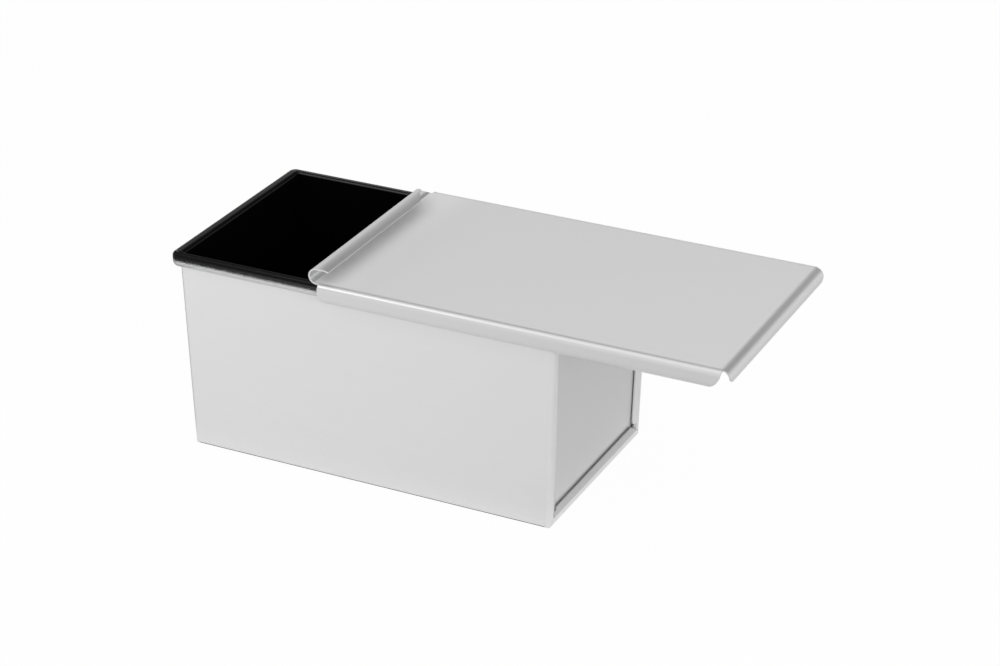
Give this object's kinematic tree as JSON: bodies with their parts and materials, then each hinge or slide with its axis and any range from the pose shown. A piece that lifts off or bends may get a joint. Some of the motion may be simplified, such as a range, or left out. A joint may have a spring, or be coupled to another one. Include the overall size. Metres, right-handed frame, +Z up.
{
  "type": "lidded loaf pan",
  "caption": "Straight-sided loaf pan of folded sheet with a rolled rim, inset end panels and a flat lid that slides along the rim on curled rails.",
  "frame": {"origin": "centre of the pan's underside, on the face it stands on", "axes": "+X along the pan's length, the way the lid slides open; +Y to the back; +Z up, out of the mouth"},
  "size_m": [0.3012, 0.1302, 0.119],
  "materials": {
    "pan_sheet": "satin aluminised steel outside, black non-stick coating inside and over the rim",
    "panel_sheet": "satin aluminised steel outside, black non-stick coating inside and over the rim",
    "wire": "plain drawn steel wire",
    "lid_sheet": "satin aluminised steel, bare on both faces"
  },
  "bodies": {
    "pan": {"pan_body": "pan_sheet", "end_panel_left": "panel_sheet", "end_panel_right": "panel_sheet", "rim_wire": "wire"},
    "lid": {"lid": "lid_sheet"}
  },
  "joints": [
    {"name": "lid_slide", "type": "slide", "parent": "pan", "child": "lid", "axis": [1, 0, 0], "range_m": [-0.085, 0.135]}
  ]
}
